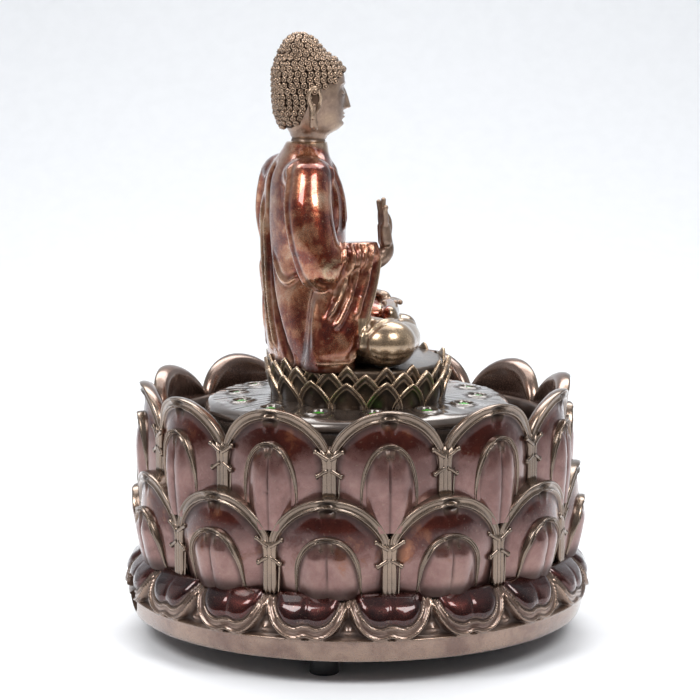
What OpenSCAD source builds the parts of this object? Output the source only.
// Tabletop water fountain: a seated figure on a lotus seat, on a lift-off seed-pod deck,
// in a lotus bowl on a petalled plinth, with a small submersible pump under the deck.
// Millimetres, +Z up, the figure faces -Y, origin at the centre of the floor under the feet.
// The radii follow from the inside out: figure, seat, seeds, deck, bowl, plinth.

/* [Figure and lotus seat] */
// Height of the figure over its seat
figure_h = 136; // [110:1:170]
// How far the seat's top reaches beyond the middle of each knee
seat_out = 8; // [6:0.5:12]
// Height of the lotus seat
seat_h = 16.5; // [12:0.5:22]
// Pointed petals in each row round the seat
seat_petals = 22; // [16:1:26]

/* [Seed pod deck] */
// Number of seeds
seeds_n = 14; // [8:1:16]
// Radius of a seed
seed_r = 3.4; // [2.5:0.1:4.2]
// Width of the deck outside the ring of seeds
deck_rim = 13.5; // [9:0.5:20]
// Height of the deck's crown over the notches between the upper petals
deck_rise = 9; // [6:0.5:14]
// Rise of the domed top from its edge to its crown
deck_dome = 3.5; // [1:0.5:6]
// Thickness of the pod's wall
deck_wall = 4; // [3:0.5:5]
// Space between the deck's edge and the bowl's wall
deck_gap = 14; // [8:0.5:22]

/* [Bowl] */
// Thickness of the bowl's wall
bowl_wall = 7; // [5:0.5:9]
// Thickness of the bowl's floor
bowl_floor = 6; // [4:0.5:9]
// Height of the bowl over the plinth, up to the notches between the upper petals
bowl_h = 60; // [57:1:76]
// Height of the upper petal tips over those notches
tip_h = 14.5; // [8:0.5:18]
// Number of petals in each tier
petals = 12; // [10:1:14]
// Turn of the bowl, the plinth and the deck under the figure, in degrees
bowl_turn = -8; // [-15:1:15]

/* [Plinth] */
// Height of the plinth
plinth_h = 24; // [20:1:34]
// How far the turned-down petals stand out beyond the bowl's wall
plinth_out = 14; // [11:0.5:20]
// How far the bottom edge stands out beyond the bowl's wall
edge_out = 9; // [6:0.5:10]
// Width of the ledge that the bowl stands on, inside the bowl's wall
ledge_w = 10; // [8:0.5:14]
// Number of turned-down petals
plinth_petals = 18; // [14:1:24]
// Height of the rubber feet that shows under the plinth
foot_h = 10; // [6:0.5:16]
// Radius of each foot
foot_r = 6; // [4:0.5:8]
// Turn of the three feet, in degrees
feet_turn = 4; // [-15:1:15]

/* [Pump] */
// Width of the pump
pump_w = 40; // [36:1:48]
// Height of the pump's housing
pump_h = 34; // [33:1:36]
// Length of the pump's housing behind the outlet's axis
pump_l = 34; // [32:1:42]
// Wall of the pump's housing
pump_wall = 2.5; // [2:0.25:3]
// Space between the pump's corners and the pod's wall
pump_room = 7.6; // [5:0.2:12]
// Outer radius of the outlet spigot
spigot_r = 4; // [3.5:0.25:5]
// Height of the suction cups
cup_h = 6; // [4:0.5:8]
// Radius of the ceramic shaft
shaft_r = 1; // [0.8:0.1:1.5]
// Radius of the rotor magnet
magnet_r = 6.8; // [5.5:0.1:8.2]
// Number of impeller vanes
vanes = 6; // [4:1:8]

/* [Cord outlet] */
// Radius of the hole that the pump's lead passes through
lead_r = 2.3; // [1.5:0.1:3]

/* [Hidden] */
$fn = 72;

// Clearances: for a piece that moves in another, one that is set in another, and a casting
run_gap = 0.05;
set_gap = 0.02;
cast_gap = 0.3;

// Figure, seat and seeds. The figure is drawn 136 mm high and scaled to figure_h.
fig_s = figure_h / 136;
knee_x = 39;
seat_a = (knee_x + seat_out) * fig_s;
seat_b = 0.745 * seat_a;
seat_foot = 0.93;
seat_lip = 0.1;
seat_ridge = 0.035;
socket_lip = 1.3;
socket_h = 0.8;
seed_sink = 2.4;
seed_gap = 1.5;
seed_ring_r = seat_a * (seat_foot + seat_ridge) + seed_gap + socket_lip + seed_r;

// Radii of the deck, the bowl and the plinth
deck_r = seed_ring_r + deck_rim;
dome_r = (deck_r * deck_r + deck_dome * deck_dome) / (2 * deck_dome);
edge_round = 4;
bowl_in_r = deck_r + deck_gap;
bowl_r = bowl_in_r + bowl_wall;
root_r = bowl_r - 3;
plinth_r = bowl_r + plinth_out;
edge_r = bowl_r + edge_out;
hollow_r = bowl_r - ledge_w;
plate_r = hollow_r + 8;
foot_ring_r = hollow_r - 1;

// Heights of the main levels over the floor
plinth_z = foot_h;
bowl_z = plinth_z + plinth_h;
floor_z = bowl_z + bowl_floor;
notch_z = bowl_z + bowl_h;
tip_z = notch_z + tip_h;
deck_z = notch_z + deck_rise;
deck_edge_z = deck_z - deck_dome;
deck_under_z = deck_edge_z - deck_wall;
seat_z = dome_z(seat_a * seat_foot);
seat_top_z = seat_z + seat_h;

// Plinth's plate, screws and feet
plate_t = 3;
foot_sink = 1;
screw_r = 1.5;
screw_head_r = 3;
screw_head_h = 1.6;
screw_l = 14;
screw_ring_r = (hollow_r + plate_r) / 2;
screw_angles = [45, 135, 225, 315];
foot_angles = [270, 30, 150];

// Pump
pump_z = floor_z + cup_h;
pump_top_z = pump_z + pump_h;
chamber_r = 12;
axis_z = pump_top_z - chamber_r - 2;
chamber_front_y = -8;
chamber_back_y = 6;
well_r = magnet_r + 0.7;
well_wall = 1.5;
well_end_y = pump_l - 6;
bush_r = shaft_r + 2;
bush_l = 2;
lid_t = 3;
cover_l = 12;
cover_wall = 2;
cup_x = pump_w / 2 - 6;
cup_ys = [0, pump_l - 8];
cup_neck_r = 2;
pump_reach = norm([pump_w / 2, pump_l]);
pod_foot_r = pump_reach + pump_room + deck_wall;

// Hose from the pump's spigot to the deck's nipple
nipple_l = 7;
nipple_z = deck_under_z - nipple_l;
spigot_top_z = nipple_z - 2;
spigot_wall = 1;
hose_wall = 1.5;
hose_z = pump_top_z + 1.5;
hose_top_z = deck_under_z - 1;

// Intake grille and its flow gate
slots = 5;
slot_w = 2;
slot_pitch = 4.5;
slot_h = pump_h - 14;
grille_z = pump_z + pump_h / 2;
cover_front_y = chamber_front_y - cover_l;
gate_w = 12;
gate_t = 1.5;
gate_h = slot_h + 4;
rail_t = 1.2;

// Cord outlets
grommet_wall = 1.7;
grommet_r = lead_r + grommet_wall;
flange_w = 2;
flange_t = 1.5;
floor_hole_y = (pod_foot_r + bowl_in_r) / 2;
gland_z = plinth_z + plinth_h / 2 - 1;
gland_y = edge_r - 5;
gland_pocket_r = grommet_r + 4;

// Height of the deck's dome at a radius
function dome_z(r) = deck_z - dome_r + sqrt(dome_r * dome_r - r * r);

// Cylinder along +Y from y0 to y1
module along_y(r, y0, y1) {
    translate([0, y1, 0]) rotate([90, 0, 0]) cylinder(r = r, h = y1 - y0);
}

// Ring of n round bars that point away from the axis, with their middles at height z
module bars(n, turn, r, z) {
    for (i = [0:n - 1]) {
        rotate([0, 0, turn + i * 360 / n])
            translate([root_r - 20, 0, z]) rotate([0, 90, 0]) cylinder(r = r, h = 60);
    }
}

// Tier of round petals: a shell of revolution kept where the bars cover it, and below fill_z
module tier(shell, n, turn, bar_r, bar_z, fill_z = 0) {
    intersection() {
        rotate_extrude() polygon(shell);
        union() {
            bars(n, turn, bar_r, bar_z);
            if (fill_z > 0) cylinder(r = plinth_r + 20, h = fill_z);
        }
    }
}

// Holes or shanks at the plate's screws
module at_screws() {
    for (a = screw_angles) rotate([0, 0, a]) translate([screw_ring_r, 0, plinth_z]) children();
}

module base_ring() {
    wall = [[hollow_r, plinth_z], [edge_r, plinth_z], [edge_r + 1, plinth_z + 8],
        [bowl_r + 3, bowl_z - 5], [bowl_r + 3, bowl_z], [hollow_r, bowl_z]];
    skirt = [[bowl_r - 1, bowl_z - 1], [bowl_r + 5, bowl_z - 1], [plinth_r - 2, bowl_z - 8],
        [plinth_r, bowl_z - 12], [plinth_r - 1.5, plinth_z + 5], [bowl_r - 1, plinth_z + 5]];
    color([0.42, 0.24, 0.19])
    difference() {
        union() {
            rotate_extrude() polygon(wall);
            tier(skirt, plinth_petals, bowl_turn, plinth_r * sin(180 / plinth_petals) + 0.6, bowl_z - 1);
        }
        translate([0, 0, plinth_z - 1]) cylinder(r = plate_r + cast_gap, h = plate_t + 1);
        at_screws() cylinder(r = screw_r, h = screw_l, $fn = 32);
        translate([0, 0, gland_z]) along_y(grommet_r, hollow_r - 6, plinth_r + 10);
        translate([0, 0, gland_z]) along_y(gland_pocket_r, gland_y - flange_t, plinth_r + 10);
    }
}

module at_foot(angle, z) {
    rotate([0, 0, angle + feet_turn]) translate([foot_ring_r, 0, z]) children();
}

module base_plate() {
    color([0.12, 0.11, 0.11])
    difference() {
        translate([0, 0, plinth_z]) cylinder(r = plate_r, h = plate_t);
        at_screws() translate([0, 0, -1]) cylinder(r = screw_r + cast_gap, h = plate_t + 2, $fn = 32);
        for (a = foot_angles) {
            at_foot(a, plinth_z - 1) cylinder(r = foot_r + set_gap, h = 1 + foot_sink, $fn = 48);
        }
    }
}

module base_screws() {
    color("silver")
    at_screws() {
        translate([0, 0, -screw_head_h]) cylinder(r = screw_head_r, h = screw_head_h, $fn = 32);
        translate([0, 0, -0.1]) cylinder(r = screw_r - set_gap, h = screw_l - 0.4, $fn = 32);
    }
}

module foot(angle) {
    color([0.05, 0.05, 0.05])
    at_foot(angle, 0) cylinder(r = foot_r, h = foot_h + foot_sink, $fn = 48);
}

module basin() {
    petal_r = (bowl_r + 4) * sin(180 / petals) + 1;
    front_r = 0.52 * petal_r;
    lower_z = tip_z - 34;
    upper = [[root_r, notch_z - 34], [bowl_r + 3, notch_z - 34], [bowl_r + 5, notch_z - 14],
        [bowl_r + 3, notch_z + 1], [bowl_r + 3.5, tip_z], [bowl_r - 1, tip_z], [root_r, notch_z - 4]];
    upper_front = [[root_r, notch_z - 34], [bowl_r + 5, notch_z - 34], [bowl_r + 7, notch_z - 14],
        [bowl_r + 6.5, notch_z + 3], [root_r, notch_z + 3]];
    lower = [[root_r, bowl_z], [bowl_r + 4, bowl_z], [bowl_r + 8, bowl_z + 18],
        [bowl_r + 7.5, lower_z], [root_r, lower_z]];
    lower_front = [[root_r, bowl_z], [bowl_r + 6, bowl_z], [bowl_r + 11, bowl_z + 12],
        [bowl_r + 12, lower_z - 14], [root_r, lower_z - 14]];
    color([0.45, 0.29, 0.25])
    difference() {
        union() {
            translate([0, 0, bowl_z]) cylinder(r = bowl_r, h = bowl_h - 2);
            tier(upper, petals, bowl_turn, petal_r, tip_z - petal_r, tip_z - petal_r);
            tier(upper_front, petals, bowl_turn, front_r, notch_z + 3 - front_r);
            tier(lower, petals, bowl_turn + 180 / petals, petal_r, lower_z - petal_r, lower_z - petal_r);
            tier(lower_front, petals, bowl_turn + 180 / petals, front_r, lower_z - 14 - front_r);
        }
        translate([0, 0, floor_z]) cylinder(r = bowl_in_r, h = bowl_h + tip_h);
        translate([0, floor_hole_y, bowl_z - 1]) cylinder(r = grommet_r, h = bowl_floor + 2, $fn = 48);
    }
}

module floor_grommet() {
    color([0.08, 0.08, 0.08])
    translate([0, floor_hole_y, bowl_z - flange_t])
    difference() {
        union() {
            cylinder(r = grommet_r - set_gap, h = bowl_floor + 2 * flange_t, $fn = 48);
            cylinder(r = grommet_r + flange_w, h = flange_t, $fn = 48);
            translate([0, 0, bowl_floor + flange_t])
                cylinder(r = grommet_r + flange_w, h = flange_t, $fn = 48);
        }
        translate([0, 0, -1]) cylinder(r = lead_r, h = bowl_floor + 2 * flange_t + 2, $fn = 48);
    }
}

module cord_grommet() {
    color([0.08, 0.08, 0.08])
    translate([0, 0, gland_z])
    difference() {
        union() {
            along_y(grommet_r - set_gap, hollow_r - 2, gland_y);
            along_y(grommet_r + flange_w, gland_y - flange_t, gland_y);
        }
        along_y(lead_r, hollow_r - 4, gland_y + 2);
    }
}

// Children at each seed, on the dome's surface
module at_seeds() {
    for (i = [0:seeds_n - 1]) {
        rotate([0, 0, bowl_turn + i * 360 / seeds_n])
            translate([seed_ring_r, 0, dome_z(seed_ring_r)]) children();
    }
}

module seed_deck() {
    dome_end_r = deck_r - edge_round;
    round_z = dome_z(dome_end_r) - edge_round;
    dome = [for (i = [0:8]) [dome_end_r * i / 8, dome_z(dome_end_r * i / 8)]];
    edge = [for (a = [60, 30, 0]) [dome_end_r + edge_round * cos(a), round_z + edge_round * sin(a)]];
    pod = [[pod_foot_r, floor_z], [pod_foot_r - deck_wall, floor_z],
        [deck_r - deck_wall - 1, deck_under_z], [0, deck_under_z]];
    landing_a = seat_a * (seat_foot + seat_ridge) + cast_gap;
    landing_b = seat_b * (seat_foot + seat_ridge) + cast_gap;
    notch_w = 16;
    notch_h = 12;
    color([0.2, 0.16, 0.14])
    difference() {
        union() {
            rotate_extrude() polygon(concat(dome, edge, pod));
            at_seeds() translate([0, 0, -3]) cylinder(r = seed_r + socket_lip, h = 3 + socket_h, $fn = 32);
            translate([0, 0, nipple_z]) cylinder(r = spigot_r - run_gap, h = nipple_l + 1, $fn = 48);
        }
        at_seeds() translate([0, 0, -seed_sink]) cylinder(r = seed_r + set_gap, h = 10, $fn = 32);
        translate([0, 0, nipple_z - 1]) cylinder(r = spigot_r - spigot_wall, h = 40, $fn = 48);
        translate([0, 0, seat_z]) linear_extrude(10)
            polygon([for (a = [0:7.5:359]) [landing_a * cos(a), landing_b * sin(a)]]);
        for (a = [30:60:330]) {
            rotate([0, 0, a]) translate([0, -notch_w / 2, floor_z - 1]) cube([deck_r + 5, notch_w, notch_h + 1]);
        }
    }
}

module seeds() {
    ball_r = 1.6 * seed_r;
    color([0.15, 0.42, 0.1])
    at_seeds() translate([0, 0, -seed_sink])
        intersection() {
            cylinder(r = seed_r, h = seed_sink, $fn = 32);
            translate([0, 0, seed_sink - ball_r]) sphere(r = ball_r, $fn = 32);
        }
}

// Lotus seat: an oval that widens upwards, with pointed petals round its side in two rows
// that are half a petal apart. ridge() is 1 on a petal's rib and 0 between petals.
function wave(u) = 1 - abs(2 * (u - floor(u)) - 1);
function ridge(a, t) = wave(a * seat_petals / 360 + (t < 0.5 ? 0 : 0.5));
function seat_grow(a, t) = seat_foot + seat_lip * t + seat_ridge * ridge(a, t) * (1 - t / 2);

module seat_solid(steps = 4 * seat_petals) {
    rows = [[0, 0], [0.35, 0.44], [0.5, 0.5], [0.75, 0.8], [1, 1]];
    n = len(rows);
    points = [for (r = rows) for (i = [0:steps - 1])
        let (a = i * 360 / steps, g = seat_grow(a, r[0]))
        [seat_a * g * cos(a), seat_b * g * sin(a), seat_z + r[1] * seat_h]];
    sides = [for (k = [0:n - 2]) for (i = [0:steps - 1])
        [k * steps + i, (k + 1) * steps + i, (k + 1) * steps + (i + 1) % steps, k * steps + (i + 1) % steps]];
    bottom = [for (i = [0:steps - 1]) i];
    top = [for (i = [steps - 1:-1:0]) (n - 1) * steps + i];
    polyhedron(points, concat(sides, [bottom, top]));
}

module lotus_seat() {
    chamber_r = 16 * fig_s;
    chamber_h = 5;
    outlet_w = 4;
    outlet_h = 3;
    color([0.3, 0.22, 0.17])
    difference() {
        seat_solid();
        translate([0, 0, seat_z - 1]) cylinder(r = chamber_r, h = chamber_h + 1, $fn = 48);
        for (a = [45:90:315]) {
            rotate([0, 0, a]) translate([0, -outlet_w / 2, seat_z - 1]) cube([seat_a + 20, outlet_w, outlet_h + 1]);
        }
    }
}

// Points of the figure are given at its drawn size: X to its left, -Y ahead, Z up from the seat.
function fig(p) = [p[0] * fig_s, p[1] * fig_s, seat_top_z + p[2] * fig_s];
neck_z = 87;
neck_r = 7;
wrist = [-30, -1, 41];
hand_heel = wrist + [1, -4.5, 3];

module ball(p, r, gap = 0, sides = 24) {
    translate(fig(p)) sphere(r = r * fig_s + gap, $fn = sides);
}

module limb(a, ra, b, rb, gap = 0, sides = 24) {
    hull() {
        ball(a, ra, gap, sides);
        ball(b, rb, gap, sides);
    }
}

// Four balls, mirrored in pairs, wrapped in one skin
module slab(a, ra, b, rb) {
    hull() for (s = [-1, 1]) {
        ball([s * a[0], a[1], a[2]], ra);
        ball([s * b[0], b[1], b[2]], rb);
    }
}

// One arm's upper part and the sleeve that hangs from it, s = -1 on the figure's right
module sleeve(s, cuff, cuff_r) {
    limb([s * 24, 22, 71], 11, [s * 33, 18, 34], 10);
    limb([s * 33, 18, 34], 10, cuff, cuff_r);
    hull() {
        ball([s * 33, 16, 30], 9);
        ball([cuff[0] + s, cuff[1] + 4, cuff[2] - 4], cuff_r);
        ball([s * 36, 7, 5], 5);
        ball([s * 34, 22, 5], 8);
    }
}

module robed_body() {
    color([0.42, 0.15, 0.08])
    difference() {
        union() {
            // hips, chest, shoulders and neck
            slab([20, 24, 8], 15, [14, 24, 45], 14);
            slab([14, 24, 42], 14, [19, 23, 70], 13);
            limb([0, 23, 70], 15, [0, 22, 79], 9);
            hull() {
                ball([0, 22, 76], 10);
                translate(fig([0, 21, neck_z - 4])) cylinder(r = neck_r * fig_s, h = 4 * fig_s, $fn = 32);
            }
            sleeve(-1, [-30, 3, 40], 6.5);
            sleeve(1, [18, -2, 25], 7);
            // crossed legs
            for (s = [-1, 1]) {
                limb([s * 12, 14, 10], 12, [s * knee_x, -1, 10], 11.5);
                limb([s * knee_x, -1, 10], 11.5, [-s * 6, -16, 9 + s], 7);
            }
        }
        translate([-100, -100, seat_top_z - 100]) cube([200, 200, 100]);
        translate([-100, -100, seat_top_z + neck_z * fig_s]) cube([200, 200, 100]);
        wrist_plug(0.15);
        palm(0.15);
    }
}

module head() {
    color([0.36, 0.27, 0.2])
    union() {
        translate(fig([0, 21, neck_z])) cylinder(r = neck_r * fig_s, h = 12 * fig_s, $fn = 32);
        hull() {
            ball([0, 22, 113], 14.5);
            ball([0, 17, 112], 13.5);
            ball([0, 13, 101], 7.5);
        }
        limb([0, 23, 120], 12, [0, 24, 129], 7);
        limb([0, 4.5, 111], 1.5, [0, 2.6, 105], 2.4);
        for (s = [-1, 1]) limb([s * 13.5, 19, 110], 2.5, [s * 12.5, 19, 98], 2, 0, 16);
    }
}

// The hands' ends that sit in the robe. gap widens the robe's sockets for them.
module wrist_plug(gap) {
    limb(wrist, 3.4, wrist + [0, 4, -1], 3.4, gap, 16);
    limb(wrist, 3.4, hand_heel, 3.4, gap, 16);
}

module palm(gap) {
    limb([12, -6, 24], 4, [-2, -11, 24], 4.2, gap, 16);
}

module raised_hand() {
    knuckles = wrist + [0, -5, 13];
    color([0.4, 0.3, 0.21])
    union() {
        wrist_plug(0);
        limb(hand_heel, 3.4, knuckles, 3.2, 0, 16);
        for (i = [-1:2]) {
            limb(knuckles + [2 * i - 1, 0, 0], 1.6, knuckles + [2.3 * i - 1, -1.5, 13 - abs(i - 0.5)], 1.2, 0, 12);
        }
        limb(wrist + [4, -5, 9], 1.6, wrist + [6, -8, 18], 1.3, 0, 12);
    }
}

module resting_hand() {
    color([0.4, 0.3, 0.21])
    union() {
        palm(0);
        limb([-2, -11, 25], 3, [-12, -12, 26], 2, 0, 16);
    }
}

module pump_body() {
    inside_w = pump_w - 2 * pump_wall;
    color([0.1, 0.1, 0.11])
    difference() {
        union() {
            translate([-pump_w / 2, chamber_front_y, pump_z])
                cube([pump_w, pump_l - chamber_front_y, pump_h]);
            translate([0, 0, pump_top_z - 1])
                cylinder(r = spigot_r - set_gap, h = spigot_top_z - pump_top_z + 1, $fn = 48);
        }
        translate([0, 0, axis_z]) {
            along_y(chamber_r, chamber_front_y - 1, chamber_back_y);
            along_y(well_r, chamber_front_y, well_end_y);
            along_y(bush_r, chamber_front_y, well_end_y + bush_l);
            cylinder(r = spigot_r - spigot_wall, h = 60, $fn = 48);
        }
        difference() {
            translate([-inside_w / 2, chamber_back_y + 2, pump_z + pump_wall])
                cube([inside_w, pump_l, pump_h - 2 * pump_wall]);
            well_tube();
        }
        at_cups(pump_z - 1) cylinder(r = cup_neck_r, h = 1.5 + pump_wall / 2, $fn = 32);
    }
}

// The closed tube round the rotor, which keeps the water from the winding
module well_tube() {
    translate([0, 0, axis_z]) along_y(well_r + well_wall, 0, well_end_y + bush_l + well_wall);
}

module at_cups(z) {
    for (s = [-1, 1], y = cup_ys) translate([s * cup_x, y, z]) children();
}

// The core is a U whose lower side carries the winding. Its arms stand beside the tube, and their
// pole faces are hollowed by it.
core_y = chamber_back_y + 5;
core_l = well_end_y - 3 - core_y;
core_w = pump_w - 9;
core_top_z = axis_z + 8;
yoke_z = pump_z + pump_wall + 2.4;
yoke_h = 4;
winding_t = 2;
pole_bite = 1;
slot_r = well_r + well_wall - pole_bite;
winding_w = 2 * slot_r - 1;

module core_outline() {
    difference() {
        translate([-core_w / 2, core_y, yoke_z]) cube([core_w, core_l, core_top_z - yoke_z]);
        translate([-slot_r, core_y - 1, yoke_z + yoke_h]) cube([2 * slot_r, core_l + 2, 60]);
        well_tube();
    }
}

module winding_block() {
    translate([-winding_w / 2, core_y - winding_t, yoke_z - winding_t])
        cube([winding_w, core_l + 2 * winding_t, yoke_h + 2 * winding_t]);
}

module stator_core() {
    color([0.45, 0.45, 0.47]) core_outline();
}

module coil() {
    color([0.72, 0.36, 0.12])
    difference() {
        winding_block();
        translate([-core_w / 2, core_y, yoke_z]) cube([core_w, core_l, yoke_h]);
        well_tube();
    }
}

module potting() {
    inside_w = pump_w - 2 * pump_wall;
    color([0.15, 0.15, 0.17])
    difference() {
        translate([-inside_w / 2, chamber_back_y + 2, pump_z + pump_wall])
            cube([inside_w, pump_l - chamber_back_y - 2, pump_h - 2 * pump_wall]);
        well_tube();
        winding_block();
        core_outline();
    }
}

module impeller_shaft() {
    color("white")
    translate([0, 0, axis_z]) along_y(shaft_r, chamber_front_y + 0.5, well_end_y + bush_l - 0.5);
}

module bush(y) {
    color([0.1, 0.1, 0.1])
    translate([0, 0, axis_z])
    difference() {
        along_y(bush_r - set_gap, y, y + bush_l);
        along_y(shaft_r + set_gap, y - 1, y + bush_l + 1);
    }
}

module rotor_magnet() {
    color([0.25, 0.25, 0.27])
    translate([0, 0, axis_z])
    difference() {
        along_y(magnet_r, chamber_back_y + 1, well_end_y - 1.5);
        along_y(shaft_r + run_gap, chamber_back_y, well_end_y);
    }
}

module impeller() {
    front_y = chamber_front_y + lid_t + 0.8;
    back_y = chamber_back_y - 1;
    vane_t = 1;
    color([0.92, 0.92, 0.9])
    translate([0, 0, axis_z])
    difference() {
        union() {
            along_y(shaft_r + 2, front_y, chamber_back_y + 1);
            along_y(magnet_r, back_y, chamber_back_y + 1);
            for (i = [0:vanes - 1]) {
                rotate([0, i * 360 / vanes, 0])
                    translate([0, front_y, -vane_t / 2]) cube([chamber_r - 1.5, back_y - front_y, vane_t]);
            }
        }
        along_y(shaft_r + run_gap, chamber_front_y, chamber_back_y + 2);
    }
}

module chamber_lid() {
    eye_r = 2;
    color([0.13, 0.13, 0.14])
    translate([0, 0, axis_z])
    difference() {
        along_y(chamber_r - set_gap, chamber_front_y, chamber_front_y + lid_t);
        along_y(bush_r, chamber_front_y - 1, chamber_front_y + lid_t + 1);
        for (a = [45:90:315]) {
            rotate([0, a, 0]) translate([bush_r + eye_r + 1.2, 0, 0])
                along_y(eye_r, chamber_front_y - 1, chamber_front_y + lid_t + 1);
        }
    }
}

// Guide for the flow gate, above it for s = 1 and below it for s = -1
module rail(s) {
    edge_z = grille_z + s * (gate_h / 2 + 2 * run_gap);
    lip = 1.5;
    out_y = cover_front_y - gate_t - 2 * run_gap - rail_t;
    translate([-pump_w / 2 + 2, out_y, s > 0 ? edge_z : edge_z - rail_t])
        cube([pump_w - 4, cover_front_y - out_y + 1, rail_t]);
    translate([-pump_w / 2 + 2, out_y, s > 0 ? edge_z - lip : edge_z - rail_t])
        cube([pump_w - 4, rail_t, rail_t + lip]);
}

module pump_cover() {
    color([0.16, 0.16, 0.17])
    difference() {
        union() {
            translate([-pump_w / 2, cover_front_y, pump_z]) cube([pump_w, cover_l, pump_h]);
            rail(1);
            rail(-1);
        }
        translate([-pump_w / 2 + cover_wall, cover_front_y + cover_wall, pump_z + cover_wall])
            cube([pump_w - 2 * cover_wall, cover_l, pump_h - 2 * cover_wall]);
        for (i = [0:slots - 1]) {
            translate([(i - (slots - 1) / 2) * slot_pitch - slot_w / 2, cover_front_y - 1,
                grille_z - slot_h / 2])
                cube([slot_w, cover_wall + 2, slot_h]);
        }
    }
}

module flow_slider() {
    knob_w = 2;
    color([0.3, 0.3, 0.32])
    union() {
        translate([-pump_w / 2 + 3, cover_front_y - gate_t - run_gap, grille_z - gate_h / 2])
            cube([gate_w, gate_t, gate_h]);
        translate([-pump_w / 2 + 3 + gate_w / 2 - knob_w / 2, cover_front_y - gate_t - 2.5, grille_z - 5])
            cube([knob_w, 3, 10]);
    }
}

module suction_cups() {
    color([0.85, 0.85, 0.82])
    at_cups(floor_z)
    difference() {
        union() {
            cylinder(r1 = 5.5, r2 = 3, h = cup_h - 2, $fn = 32);
            translate([0, 0, cup_h - 2.5]) cylinder(r = 3, h = 2.5, $fn = 32);
            translate([0, 0, cup_h - 1]) cylinder(r = cup_neck_r - set_gap, h = 1 + pump_wall / 2, $fn = 32);
        }
        translate([0, 0, -0.1]) cylinder(r1 = 4.5, r2 = 1, h = cup_h / 3, $fn = 32);
    }
}

module hose() {
    color([0.75, 0.78, 0.78])
    translate([0, 0, hose_z])
    difference() {
        cylinder(r = spigot_r + hose_wall, h = hose_top_z - hose_z, $fn = 48);
        translate([0, 0, -1]) cylinder(r = spigot_r, h = hose_top_z - hose_z + 2, $fn = 48);
    }
}

base_ring();
base_plate();
base_screws();
foot(foot_angles[0]);  // foot_front
foot(foot_angles[1]);  // foot_left
foot(foot_angles[2]);  // foot_right
basin();
floor_grommet();
cord_grommet();
seed_deck();
seeds();
lotus_seat();
robed_body();
head();
raised_hand();
resting_hand();
pump_body();
chamber_lid();
pump_cover();
flow_slider();
impeller();
rotor_magnet();
impeller_shaft();
bush(chamber_front_y + (lid_t - bush_l) / 2);  // front_bush
bush(well_end_y);  // rear_bush
stator_core();
coil();
potting();
suction_cups();
hose();
